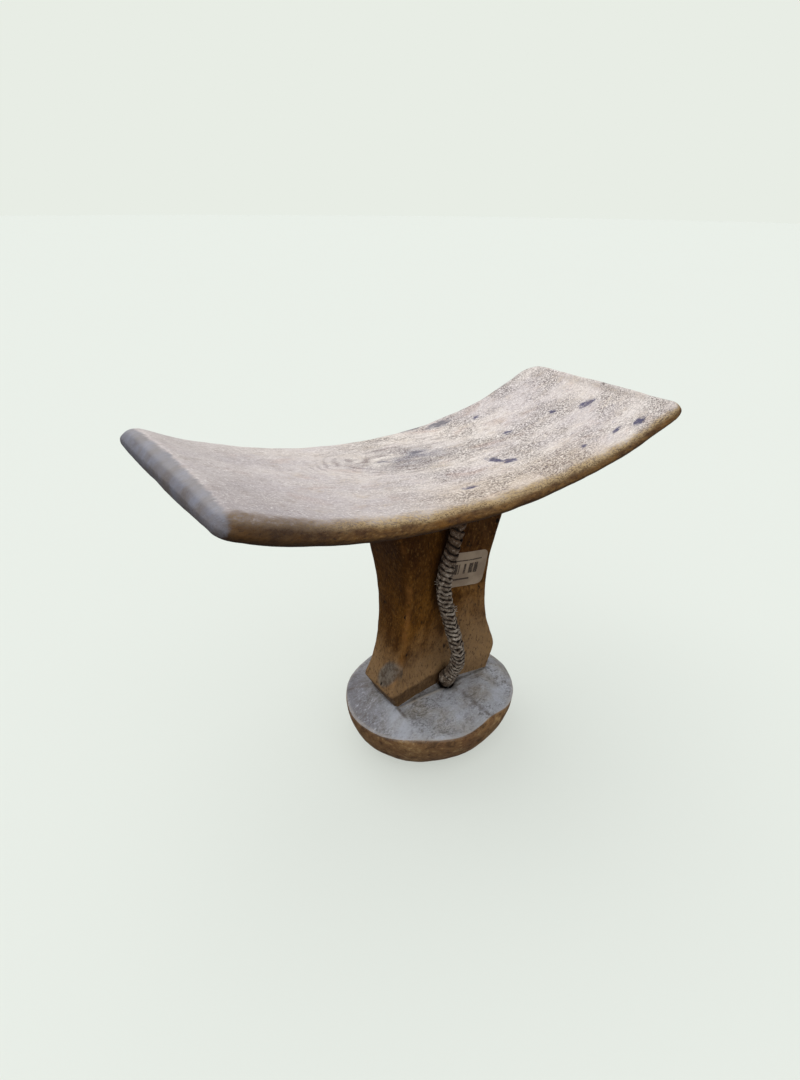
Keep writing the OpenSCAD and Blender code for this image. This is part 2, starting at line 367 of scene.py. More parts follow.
    # violet-blue stains with ragged edges, each with a paler halo
    tears = pattern(tree, where, 1.8 * MM, (2.0, 1, 1), 4.0, 0.75)
    stain_edge = ragged(tree, "stain", tears, 2.2)
    halo = add(tree, "MapRange", (stain_edge, 0.12, 0.8), **STEP)
    tone = layer(tree, tone, "#8C8991", (halo, "stain"), most=0.6)
    ink = layer(tree, "#6A6870", "#38365C", "flecks", 0.1, 0.5)
    tone = layer(tree, tone, ink, stain_edge, 0.5, 0.9, 0.88)

    # the old oiled skin on the sides and below, speckled dark and yellow
    mottle = pattern(tree, where, 5 * MM, (2.2, 1, 1), 4.0, 0.65)
    skin = layer(tree, "#583A1C", "#8C6838", mottle, 0.36, 0.66)
    amber = pattern(tree, where, 12 * MM, (2, 1, 1))
    skin = layer(tree, skin, "#9A6A24", amber, 0.5, 0.68, 0.6)
    speck = pattern(tree, where, 0.9 * MM, (2.4, 1, 1), 3.0, 0.78)
    skin = layer(tree, skin, "#2E1D10", speck, 0.52, 0.66, 0.65)
    skin = layer(tree, skin, "#A68A5E", speck, 0.46, 0.32, 0.4)
    # painted shade: the faces turned down are darkened
    skin = layer(tree, skin, "#331B0A", "below", most=0.85)
    skin = layer(tree, skin, "#33241A", across[0], -62 * MM, -104 * MM, 0.65)

    # where the top's bare wood meets the skin, the edge is ragged and yellow-brown
    fray = add(tree, "Math",
               (add(tree, "Math", (mottle, 0.5), operation="SUBTRACT"),
                add(tree, "Math", (pores, 0.5), operation="SUBTRACT")), operation="ADD")
    bare_edge = add(tree, "Math", ("bare", add(tree, "Math", (fray, 0.8), operation="MULTIPLY")),
                    operation="ADD")
    gold = layer(tree, "#B39A70", "#6A5434", pores, 0.44, 0.6)
    gold = layer(tree, gold, "#5E4C3E", across[0], -58 * MM, -100 * MM, 0.8)
    colour = layer(tree, skin, gold, bare_edge, 0.1, 0.5)
    colour = layer(tree, colour, tone, bare_edge, 0.45, 1.0)

    # the left end is a satin grey, tinted blue by a painted sky reflection
    end = ragged(tree, "end", mottle, 1.1)
    end = ragged(tree, end, speck, 0.7)
    end_mask = add(tree, "MapRange", (end, 0.25, 0.8), **STEP)
    end_patch = pattern(tree, where, 10 * MM, (1, 1, 1.1), 4.0, 0.6)
    end_tone = layer(tree, "#68615E", "#767883", end_patch, 0.3, 0.7)
    end_tone = layer(tree, end_tone, "#57504C", speck, 0.52, 0.7, 0.45)
    # a painted highlight along the end's upper edge
    end_tone = layer(tree, end_tone, "#A8A4A3", "bare", 0.3, 0.9, 0.4)
    end_tone = layer(tree, end_tone, "#4A3A2C", across[2], 171 * MM, 165 * MM, 0.7)
    colour = layer(tree, colour, end_tone, end_mask)

    gloss = add(tree, "MapRange", (fibre, 0.35, 0.65, 0.46, 0.64), **STEP)
    side_gloss = add(tree, "MapRange", (mottle, 0.35, 0.65, 0.4, 0.58), **STEP)
    mixed = add(tree, "Mix", {0: add(tree, "MapRange", ("bare", 0.2, 0.6), **STEP), 2: side_gloss, 3: gloss})
    relief = add(tree, "Math", (fibre, add(tree, "Math", (pore_mask, 0.8), operation="MULTIPLY")),
                 operation="SUBTRACT")
    relief = add(tree, "Math", (relief, add(tree, "Math", (mottle, 0.8), operation="MULTIPLY")),
                 operation="ADD")
    surface(tree, colour, mixed, relief, 0.3 * MM, 0.8, **{"Specular IOR Level": 0.35})
    return material


def column_wood():
    """The same hardwood cut along the grain and never worn bare: old brown oil, darkened by painted shade
    under the rest, on its left end and under the heel, with a painted shadow beside the cord; paler and
    greyer towards the foot, partly dust and partly painted light, and paler to the right as painted light;
    lighter on its worn ridges, which also carry a painted highlight, a painted grey sky sheen on the flaring
    left end, and a few short black checks."""
    material, tree = new_material("oiled_hardwood_knife_cut")
    where = add(tree, "TexCoord", output="Object")
    across = add(tree, "SeparateXYZ", {0: where}, None).outputs
    patch = pattern(tree, where, 10 * MM, (1, 1, 1.3), 5.0, 0.62, 0.5)
    fine = pattern(tree, where, 1.0 * MM, (1, 1, 2.2), 3.0, 0.7)
    mottle = pattern(tree, where, 3.4 * MM, (1, 1, 1.3), 5.0, 0.72, 0.4)
    tone = layer(tree, "#57350F", "#7D531E", patch, 0.36, 0.64)
    amber = pattern(tree, where, 19 * MM, (1, 1, 1.4))
    tone = layer(tree, tone, "#8A5C1E", amber, 0.48, 0.66, 0.35)
    tone = layer(tree, tone, "#361D06", mottle, 0.52, 0.68, 0.7)
    tone = layer(tree, tone, "#8C6836", mottle, 0.46, 0.32, 0.4)
    # paler and greyer towards the foot, partly dust and partly painted light, and paler to the right as
    # painted light
    paler_low = add(tree, "Math",
                (add(tree, "MapRange", (across[2], 90 * MM, 40 * MM), **STEP),
                 add(tree, "MapRange", (across[0], 0.0, 12 * MM, 0.0, 0.4), **STEP)), operation="ADD")
    paler_low = ragged(tree, paler_low, patch, 1.2)
    tone = layer(tree, tone, "#9A7D5A", paler_low, 0.15, 1.2, 0.85)
    # painted shade: darker towards the top, under the rest
    shade_under_rest = add(tree, "MapRange", (across[2], 84 * MM, 120 * MM), **STEP)
    tone = layer(tree, tone, "#3A1A02", shade_under_rest, most=0.68)
    # painted shade on the column's left end, under the rest
    left_face_shade = add(tree, "Math",
                    ("left_end", add(tree, "MapRange", (across[2], 54 * MM, 72 * MM), **STEP)),
                    operation="MULTIPLY")
    tone = layer(tree, tone, "#4A2903", left_face_shade, most=0.35)
    tone = layer(tree, tone, "#241406", fine, 0.52, 0.66, 0.6)
    tone = layer(tree, tone, "#A88248", fine, 0.46, 0.32, 0.35)

    # ridges worn lighter, with a painted highlight along them; the flat chip at the heel, turned up, carries
    # a painted grey sky sheen
    ridge = add(tree, "Math", ("ridge", add(tree, "MapRange", (mottle, 0.34, 0.6), **STEP)),
                operation="MULTIPLY")
    tone = layer(tree, tone, "#A5713A", ridge, most=0.7)
    leaf = ragged(tree, "leaf", mottle, 0.5)
    flare_sheen_tone = layer(tree, "#837D73", "#574E44", mottle, 0.4, 0.62)
    flare_sheen_tone = layer(tree, flare_sheen_tone, "#40362B", fine, 0.45, 0.65, 0.6)
    tone = layer(tree, tone, flare_sheen_tone, leaf, 0.35, 0.75, 0.85)

    # painted shade under the heel's overhang
    heel_shade = add(tree, "Math",
                     ("below_heel", add(tree, "MapRange", (mottle, 0.3, 0.6, 0.45, 0.75), **STEP)),
                     operation="MULTIPLY")
    tone = layer(tree, tone, "#3A2612", heel_shade)

    # short black checks
    check = pattern(tree, where, 5.0 * MM, (1, 1, 1.6), 1.0, 0.4)
    check_line = add(tree, "Math",
                     (add(tree, "MapRange", (check, 0.7, 0.76), **STEP),
                      add(tree, "MapRange", (fine, 0.42, 0.55), **STEP)), operation="MULTIPLY")
    tone = layer(tree, tone, "#140C06", check_line)
    # painted shadow of the cord and painted shade in the groove beside it
    tone = layer(tree, tone, "#1E0F03", "grime", most=0.75)
    relief = add(tree, "Math", (fine, add(tree, "Math", (mottle, 1.4), operation="MULTIPLY")),
                 operation="ADD")
    relief = add(tree, "Math", (relief, add(tree, "Math", (check_line, 1.5), operation="MULTIPLY")),
                 operation="SUBTRACT")
    gloss = add(tree, "MapRange", (mottle, 0.35, 0.65, 0.42, 0.6), **STEP)
    surface(tree, tone, gloss, relief, 0.3 * MM, 0.9, **{"Specular IOR Level": 0.14})
    return material


def base_wood():
    """End of the same block: its top is handled and dusted grey, tinted blue by a painted sky reflection,
    with painted highlights and painted shade on its cuts, while the bowl side keeps a mottled brown skin
    below a thin, worn pale rim that also carries a painted highlight."""
    material, tree = new_material("hardwood_base_handled_painted_sheen")
    where = add(tree, "TexCoord", output="Object")
    fine = pattern(tree, where, 0.9 * MM, (1.6, 1, 1), 3.0, 0.75)
    mottle = pattern(tree, where, 3.4 * MM, (1.4, 1, 1), 5.0, 0.72, 0.4)
    patch = pattern(tree, where, 15 * MM, (1.2, 1, 1), 4.0, 0.55)
    # the top's grey is partly handling and dust, partly a painted blue sky reflection
    top = layer(tree, "#938E85", "#A0A2A6", patch, 0.36, 0.64)
    # painted shade on the back-left cut of the top, which faces away from the light
    top = layer(tree, top, "#6A686D", "back_left", most=0.9)
    top = layer(tree, top, "#5E564E", mottle, 0.5, 0.66, 0.7)
    top = layer(tree, top, "#BABDC4", mottle, 0.45, 0.3, 0.6)
    grubby = add(tree, "MapRange", (pattern(tree, where, 9 * MM), 0.42, 0.62, 0.1, 0.66), **STEP)
    top = layer(tree, top, "#463E38", patchy(tree, grubby, fine, 0.5, 0.6))
    top = layer(tree, top, "#CCCFD6", fine, 0.46, 0.32, 0.3)
    # painted highlights of the sky on the front of the top, left and right
    rubbed = add(tree, "Math", ("rubbed", add(tree, "MapRange", (patch, 0.3, 0.6, 0.3), **STEP)),
                 operation="MULTIPLY")
    top = layer(tree, top, "#C3C8D2", rubbed, most=0.45)
    side = layer(tree, "#7C5A3B", "#927049", patch, 0.38, 0.62)
    side = layer(tree, side, "#412C1A", mottle, 0.5, 0.66, 0.7)
    side = layer(tree, side, "#C0A070", mottle, 0.47, 0.34, 0.75)
    side = layer(tree, side, "#33210F", fine, 0.53, 0.68, 0.45)
    colour = layer(tree, side, top, ragged(tree, "upper", mottle, 0.45), 0.42, 0.6)
    # the rim is worn pale, with a painted highlight along it
    rim = add(tree, "Math", ("rim", add(tree, "MapRange", (fine, 0.34, 0.56), **STEP)),
              operation="MULTIPLY")
    colour = layer(tree, colour, "#B8B2AA", rim, most=0.45)
    # a painted highlight along the edge of the chisel cut at the column's foot
    line = add(tree, "Math", ("cut", add(tree, "MapRange", (mottle, 0.3, 0.55), **STEP)),
               operation="MULTIPLY")
    colour = layer(tree, colour, "#BFB4A4", line, most=0.6)
    # painted shade along the creases between the cuts
    crease = add(tree, "Math", ("crease", add(tree, "MapRange", (mottle, 0.3, 0.6, 0.35, 0.85), **STEP)),
                 operation="MULTIPLY")
    colour = layer(tree, colour, "#5A5049", crease)
    # painted shade in and round the lower hole and along the column's foot
    colour = layer(tree, colour, "#1F1C1B", "grime", most=0.85)
    relief = add(tree, "Math", (fine, add(tree, "Math", (mottle, 1.6), operation="MULTIPLY")),
                 operation="ADD")
    gloss = add(tree, "MapRange", (mottle, 0.35, 0.65, 0.32, 0.52), **STEP)
    surface(tree, colour, gloss, relief, 0.3 * MM, 0.8, **{"Specular IOR Level": 0.45})
    return material


def lace_hide():
    """Rawhide lace cut narrow and wound wet: dried hard, grey-brown, paler towards the bottom, its crests
    worn pale with dust and lit by a painted highlight, painted shade near black in the gaps, with fibres
    along the lace."""
    material, tree = new_material("rawhide_lace_wound")
    strip = add(tree, "UVMap", uv_map="strip")
    where = add(tree, "TexCoord", output="Object")
    fibres = add(tree, "TexNoise",
                 {"Vector": add(tree, "Mapping", {"Vector": strip, "Scale": (0.9, 2.6, 1)}), "Scale": 1.6,
                  "Detail": 4.0, "Roughness": 0.7, "Distortion": 0.5})
    mottle = pattern(tree, where, 2.4 * MM, (1, 1, 1), 3.0, 0.65)
    lower = add(tree, "MapRange", (add(tree, "SeparateXYZ", {0: where}, 2), 128 * MM, 92 * MM), **STEP)
    paler_low = layer(tree, "#6A4C2E", "#948674", lower)
    tone = layer(tree, "#54412E", paler_low, mottle, 0.36, 0.64)
    crest = ragged(tree, "crest", fibres, 2.6)
    # painted shade, near black, in the gaps between the turns
    tone = layer(tree, tone, "#140B05", crest, 0.72, 0.2, 0.95)
    # pale crests, partly worn and dust, partly a painted highlight
    rubbed = add(tree, "MapRange", (mottle, 0.42, 0.6, 0.25), **STEP)
    pale = patchy(tree, patchy(tree, rubbed, lower, 0.0, 1.0, 0.5), crest, 0.75, 1.2)
    tone = layer(tree, tone, "#D6CCBE", pale)
    gloss = add(tree, "MapRange", (fibres, 0.3, 0.7, 0.5, 0.72), **STEP)
    surface(tree, tone, gloss, fibres, 0.5 * MM, 1.0, **{"IOR": 1.46})
    return material


def thong_hide():
    """The rawhide core, greasy and almost black between the turns of the lace."""
    material, tree = new_material("rawhide_core")
    where = add(tree, "TexCoord", output="Object")
    grain = pattern(tree, where, 1.0 * MM, (1, 1, 3))
    tone = layer(tree, "#1C120A", "#3A2A1C", grain, 0.35, 0.65)
    gloss = add(tree, "MapRange", (grain, 0.3, 0.7, 0.5, 0.7), **STEP)
    surface(tree, tone, gloss, grain, 0.2 * MM, 0.6)
    return material


def label_paper():
    """Coated label paper gone beige, with a printed block of plain upright bars and two ruled lines, all
    without any writing, the print a little worn."""
    material, tree = new_material("coated_label_paper_printed")
    sheet = add(tree, "UVMap", uv_map="face")
    where = add(tree, "TexCoord", output="Object")
    u, v, _ = add(tree, "SeparateXYZ", {0: sheet}, None).outputs
    fibre = pattern(tree, where, 0.7 * MM)
    stain = pattern(tree, where, 9 * MM)
    paper = layer(tree, "#9A8875", "#B09E88", stain, 0.35, 0.65)
    paper = layer(tree, paper, "#857461", fibre, 0.55, 0.75, 0.3)
    bars = add(tree, "TexWhiteNoise",
               {"W": add(tree, "Math", (add(tree, "Math", (u, 46.0), operation="MULTIPLY"), 0.0),
                         operation="FLOOR")}, noise_dimensions="1D")
    bar = add(tree, "Math", (bars, 0.4), operation="GREATER_THAN")

    def band(value, begin, end):
        inside = add(tree, "Math", (value, begin), operation="GREATER_THAN")
        return add(tree, "Math", (inside, add(tree, "Math", (value, end), operation="LESS_THAN")),
                   operation="MULTIPLY")

    block = add(tree, "Math",
                (add(tree, "Math", (band(u, 0.32, 0.82), band(v, 0.38, 0.67)), operation="MULTIPLY"), bar),
                operation="MULTIPLY")
    upper_rule = add(tree, "Math", (band(u, 0.2, 0.88), band(v, 0.75, 0.785)), operation="MULTIPLY")
    lower_rule = add(tree, "Math", (band(u, 0.16, 0.68), band(v, 0.2, 0.25)), operation="MULTIPLY")
    print_here = add(tree, "Math",
                     (block, add(tree, "Math", (upper_rule, lower_rule), operation="MAXIMUM")),
                     operation="MAXIMUM")
    worn = add(tree, "MapRange", (fibre, 0.34, 0.48, 0.45, 0.9), **STEP)
    colour = layer(tree, paper, "#2E2620", (print_here, worn))
    gloss = add(tree, "MapRange", (fibre, 0.3, 0.7, 0.42, 0.55), **STEP)
    surface(tree, colour, gloss, fibre, 0.04 * MM, 0.5)
    return material


# ---------------------------------------------------------------- cord

# the thong's centreline, from inside the upper hole down the groove and into the lower hole, in mm
CORD_ROUTE = [
    (2, -12.5, 148), (2, -14, 142), (1.5, -15.5, 137), (0.5, -16.5, 132.5), (-0.5, -17, 128),
    (-1.5, -17, 123), (-2.5, -16.5, 117.5), (-3.5, -15.5, 111.5), (-4.5, -14.8, 105.5),
    (-5.3, -14.5, 99.5), (-5, -14.5, 93), (-4, -15, 86.5), (-2.4, -16, 79), (-0.6, -17.5, 70.5),
    (1, -18.8, 62.5), (2.2, -19, 56.5), (2.8, -18, 51), (2.8, -16, 45.5), (2.2, -13.7, 41),
    (1.8, -12.2, 38), (2.2, -10.8, 35), (2.9, -9, 31.5), (3.6, -6.5, 27.5), (4.2, -4.3, 24),
]
COVER_END = 18
KNOT_END = 21
THONG_DIAMETER = 4.6 * MM


class Line:
    """A smooth line through points, with an even measure along it and a frame that doesn't twist."""

    def __init__(self, points, step):
        fine = []
        for i in range(len(points) - 1):
            before = points[max(i - 1, 0)]
            a, b = points[i], points[i + 1]
            after = points[min(i + 2, len(points) - 1)]
            for k in range(16):
                t = k / 16
                fine.append(0.5 * (2 * a + (b - before) * t + (2 * before - 5 * a + 4 * b - after) * t ** 2
                                   + (3 * a - before - 3 * b + after) * t ** 3))
        fine.append(points[-1].copy())
        lengths = [0.0]
        for a, b in zip(fine, fine[1:]):
            lengths.append(lengths[-1] + (b - a).length)
        self.length = lengths[-1]
        count = max(int(self.length / step), 2)
        self.step = self.length / count
        self.points = []
        k = 0
        for i in range(count + 1):
            s = i * self.step
            while k < len(fine) - 2 and lengths[k + 1] < s:
                k += 1
            t = (s - lengths[k]) / max(lengths[k + 1] - lengths[k], 1e-9)
            self.points.append(fine[k].lerp(fine[k + 1], min(t, 1.0)))
        self.out = []
        normal = Vector((0, -1, 0))
        for i in range(count + 1):
            ahead = self.points[min(i + 1, count)] - self.points[max(i - 1, 0)]
            ahead.normalize()
            normal = (normal - ahead * normal.dot(ahead)).normalized()
            self.out.append((ahead, normal.copy()))

    def at(self, s):
        """Point, direction ahead and outward normal at s, running straight on past either end."""
        place = min(max(s / self.step, 0.0), len(self.points) - 1.0001)
        i = int(place)
        t = place - i
        point = self.points[i].lerp(self.points[i + 1], t)
        ahead = self.out[i][0].lerp(self.out[i + 1][0], t).normalized()
        normal = self.out[i][1].lerp(self.out[i + 1][1], t)
        point = point + ahead * (s - min(max(s, 0.0), self.length))
        return point, ahead, (normal - ahead * normal.dot(ahead)).normalized()


def rim_point(line, s, angle, radius):
    """The point at that angle and radius round the line; angle 0 faces the front and rises to the right."""
    point, ahead, normal = line.at(s)
    side = normal.cross(ahead)
    return point + (normal * math.cos(angle) + side * math.sin(angle)) * radius


def skin_mesh(name, rows, uv=None, marks=None):
    """A mesh of rows of points, each row joined round to itself and on to the next, with its ends closed."""
    points = [p for row in rows for p in row]
    n = len(rows[0])
    faces = []
    for i in range(len(rows) - 1):
        for j in range(n):
            k = (j + 1) % n
            faces.append((i * n + j, i * n + k, (i + 1) * n + k, (i + 1) * n + j))
    faces.append(tuple(reversed(range(n))))
    last = (len(rows) - 1) * n
    faces.append(tuple(range(last, last + n)))
    mesh = bpy.data.meshes.new(name)
    mesh.from_pydata(points, [], faces)
    if uv:
        layer = mesh.uv_layers.new(name="strip")
        for poly in mesh.polygons:
            for loop in poly.loop_indices:
                vertex = mesh.loops[loop].vertex_index
                i, j = divmod(vertex, n)
                layer.data[loop].uv = uv(i, j)
    for key, values in (marks or {}).items():
        layer = mesh.attributes.new(key, "FLOAT", "POINT")
        layer.data.foreach_set("value", values)
    obj = bpy.data.objects.new(name, mesh)
    bpy.context.scene.collection.objects.link(obj)
    only(obj)
    bpy.ops.object.mode_set(mode="EDIT")
    close_up()
    shade(obj, 60)
    return obj


route = [Vector(p) * MM for p in CORD_ROUTE]
whole_line = Line(route, 0.5 * MM)
cover_line = Line(route[:COVER_END + 1], 0.5 * MM)
knot_line = Line(route[COVER_END - 1:KNOT_END + 1], 0.3 * MM)


def make_thong():
    sides = 16
    rows = []
    for i in range(len(whole_line.points)):
        s = i * whole_line.step
        row = []
        for j in range(sides):
            angle = 2 * math.pi * j / sides
            wobble = 1 + 0.05 * math.sin(3 * angle + s * 300)
            row.append(rim_point(whole_line, s, angle, THONG_DIAMETER / 2 * wobble))
        rows.append(row)
    return skin_mesh("hide_thong", rows)


def make_lace():
    """One flat lace wound round the thong: wide plain turns at the top, then close half hitches whose
    crossings make a spine of small chevrons."""
    rng = random.Random(11)
    per_turn = 40
    around = 10
    rows = []
    strips = []
    crests = []
    s = 0.6 * MM
    angle = 0.0
    run = 0.0
    turn_jitter = [(rng.uniform(-1, 1), rng.uniform(-1, 1), rng.uniform(-1, 1)) for _ in range(90)]
    while s < cover_line.length + 0.6 * MM:
        share = s / cover_line.length
        pitch = (3.9 - 1.5 * ramp(share, 0.22, 0.5)) * MM
        turn = angle / (2 * math.pi)
        k = int(turn)
        t = turn - k
        jitter = [a + (b - a) * ramp(t, 0, 1) for a, b in zip(turn_jitter[k], turn_jitter[k + 1])]
        close = ramp(share, 0.25, 0.45)
        spine = 0.25 + 0.7 * math.sin(share * 5.0) * close
        off = (angle - spine + math.pi) % (2 * math.pi) - math.pi
        chevron = (0.35 + 1.0 * close) * MM * (1 - abs(off) / (0.55 * math.pi)) * (abs(off) < 0.55 * math.pi)
        knuckle = math.exp(-(off / 0.42) ** 2)
        # the wet lace dried into lumps and lies a little aside of its even path
        lump = noise.noise(Vector((run / MM * 1.1, 5.0, 2.0)))
        aside = noise.noise(Vector((run / MM * 0.5, 11.0, 4.0)))
        radius = (2.95 + 0.16 * jitter[0] + 0.3 * knuckle * close + 0.7 * lump * (0.3 + 0.7 * close)) * MM
        chevron += 1.0 * aside * MM
        width = pitch * (0.98 + 0.1 * jitter[1] - 0.1 * knuckle * close)
        thick = (1.25 + 0.2 * jitter[2]) * MM
        tilt = 0.16 + 0.12 * jitter[1] + 0.1 * math.sin(angle * 1.0 + 1.2)
        curl = (1 - close) * max(0.0, math.sin(angle - 0.3)) * 0.25
        row = []
        for j in range(around):
            around_angle = 2 * math.pi * j / around
            c, n = math.cos(around_angle), math.sin(around_angle)
            a = math.copysign(abs(c) ** 0.75, c) * width / 2
            up = math.copysign(abs(n) ** 0.8, n) * thick / 2
            up = up - a * tilt + curl * abs(c) ** 3 * thick * (c < 0)
            wave = 0.2 * MM * noise.noise(Vector((run / MM * 1.3, j * 0.9, 3.0)))
            row.append(rim_point(cover_line, s + chevron + a, angle, radius + up + wave))
            crests.append(min(max(0.5 + 0.5 * n - 0.35 * abs(c) ** 3 + 0.15 * knuckle * close
                                  + 0.1 * jitter[0], 0.0), 1.3))
        rows.append(row)
        strips.append(run / MM)
        step_angle = 2 * math.pi / per_turn
        angle += step_angle
        s += pitch * step_angle / (2 * math.pi)
        run += radius * step_angle
    return skin_mesh("lace_winding", rows, uv=lambda i, j: (strips[i], j / around * 5),
                     marks={"crest": crests})


def make_knot():
    """The lace's last turns, drawn tight over the thong's end in three round lobes above the lower hole."""
    sides = 48
    rows = []
    crests = []
    count = 40
    length = knot_line.length
    for i in range(count + 1):
        share = i / count
        s = length * share
        body = 3.2 + 1.0 * math.sin(math.pi * min(share * 0.9, 1.0)) ** 0.8
        close_in = math.sqrt(max(1 - max((share - 0.66) / 0.34, 0.0) ** 2, 0.02))
        row = []
        for j in range(sides):
            angle = 2 * math.pi * j / sides
            lobe = abs(math.sin(1.5 * (angle + 1.8 * share)))
            turn = abs(math.sin(math.pi * (share * 3.2 + 0.12 * math.sin(angle))))
            relief = (0.62 * lobe ** 0.5 * ramp(share, 0.3, 0.6)
                      + 0.5 * turn ** 0.6 * (1 - ramp(share, 0.45, 0.75)))
            radius = (body - 0.7 + relief) * close_in
            row.append(rim_point(knot_line, s, angle, radius * MM))
            crests.append(min(0.1 + relief, 1.0))
        rows.append(row)
    return skin_mesh("lace_knot_end", rows, uv=lambda i, j: (i * 0.3, j / sides * 20),
                     marks={"crest": crests})


def make_tuft(name, s, angle, reach, seed):
    """A few broken lace fibres that stand out from the winding."""
    rng = random.Random(seed)
    joined = None
    for k in range(8):
        root = rim_point(cover_line, s + rng.uniform(-1.2, 1.2) * MM, angle + rng.uniform(-0.3, 0.3),
                         2.9 * MM)
        away = (root - cover_line.at(s)[0]).normalized()
        drift = Vector((rng.uniform(-0.5, 0.5), rng.uniform(-0.3, 0.3), rng.uniform(-0.2, 0.9)))
        tip = root + (away + drift * 0.8).normalized() * reach * rng.uniform(0.6, 1.0)
        sway = Vector((rng.uniform(-1, 1), rng.uniform(-1, 1), rng.uniform(-1, 1)))
        bend = (root + tip) / 2 + sway * 0.3 * MM
        strand = Line([root, bend, tip], 0.2 * MM)
        rows = []
        for i in range(len(strand.points)):
            thin = 1 - 0.75 * i / (len(strand.points) - 1)
            rows.append([rim_point(strand, i * strand.step, 2 * math.pi * j / 6, 0.26 * MM * thin)
                         for j in range(6)])
        count = len(rows) * 6
        piece = skin_mesh(name if joined is None else name + "_strand", rows,
                          uv=lambda i, j: (i * 0.2, j / 6), marks={"crest": [1.15] * count})
        if joined is None:
            joined = piece
        else:
            only(joined)
            piece.select_set(True)
            bpy.ops.object.join()
    return joined


lace_material = lace_hide()
thong = make_thong()
lace = make_lace()
knot = make_knot()
tufts = [make_tuft("lace_tuft_left", 50 * MM, -1.35, 3.2 * MM, 3),
         make_tuft("lace_tuft_right", 68 * MM, 1.35, 3.4 * MM, 5)]
finish_piece(thong, thong_hide(), "hide", "thong")
finish_piece(lace, lace_material, "lace", "lace_cover")
finish_piece(knot, lace_material, "lace", "lace_knot")
for tuft in tufts:
    finish_piece(tuft, lace_material, "lace")
[p.copy() for p in cover_line.points[::4]] + [route[COVER_END]]

# ---------------------------------------------------------------- rest

REST_HALF = 114.5
REST_WIDE = 48
REST_SHIFT = -7.5
REST_TURN = 0.7


def rest_height(u):
    return 153.5 + 21.5 * u ** 2 + 4 * u ** 4 - 1.1 * u


def rest_slope(u):
    return (43 * u + 16 * u ** 3 - 1.1) / REST_HALF


def rest_wide(u):
    return REST_WIDE + 5 * u ** 2 - 1.5 * u


def rest_dip(u):
    return 0.5 + 0.5 * u ** 2 + 2.5 * u


def rest_edge(u):
    return 7.5 + 0.3 * u ** 2 - 1.1 * u


def rest_belly(u):
    return 2 + 3 * (1 - u ** 2) ** 2


def under_rest(x, y):
    """Height in mm of the rest's underside above a point."""
    u = (x - REST_SHIFT) / REST_HALF
    v = y / rest_wide(u)
    return rest_height(u) - (rest_edge(u) + rest_belly(u) * (1 - v * v)) * math.sqrt(1 + rest_slope(u) ** 2)


